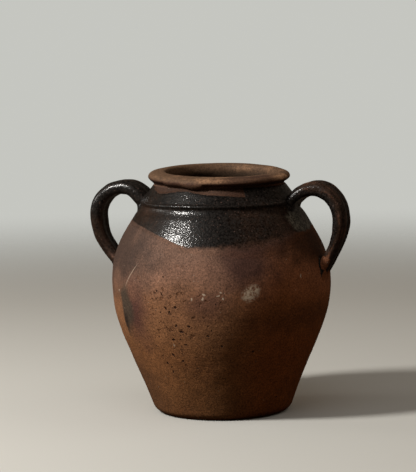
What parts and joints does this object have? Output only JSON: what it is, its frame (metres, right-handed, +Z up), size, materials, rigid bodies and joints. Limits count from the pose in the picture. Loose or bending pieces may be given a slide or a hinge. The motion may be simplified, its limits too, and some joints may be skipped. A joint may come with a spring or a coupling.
{
  "type": "two-handled storage pot",
  "caption": "Round-bellied clay storage pot with a rolled lip, looped strap handles from neck to shoulder, and dark glaze over the neck, shoulder and handles.",
  "frame": {"origin": "centre of the standing face, on the surface that the pot stands on", "axes": "+Z up along the pot's axis, +X through the right handle, -Y to the front"},
  "size_m": [0.3132, 0.2548, 0.28],
  "materials": {
    "bare_clay": "matt fired clay, reddish brown, with smoke marks and small pits",
    "dark_glaze": "glossy black-brown glaze with fine orange-peel speckle",
    "luting_slip": "smoothed clay slip, matt"
  },
  "bodies": {
    "root": {"left_handle": "bare_clay", "left_handle_glaze": "dark_glaze", "left_lower_slip": "luting_slip", "left_upper_slip": "luting_slip", "pot_body": "bare_clay", "right_handle": "bare_clay", "right_handle_glaze": "dark_glaze", "right_lower_slip": "luting_slip", "right_upper_slip": "luting_slip", "shoulder_glaze": "dark_glaze"}
  },
  "joints": []
}
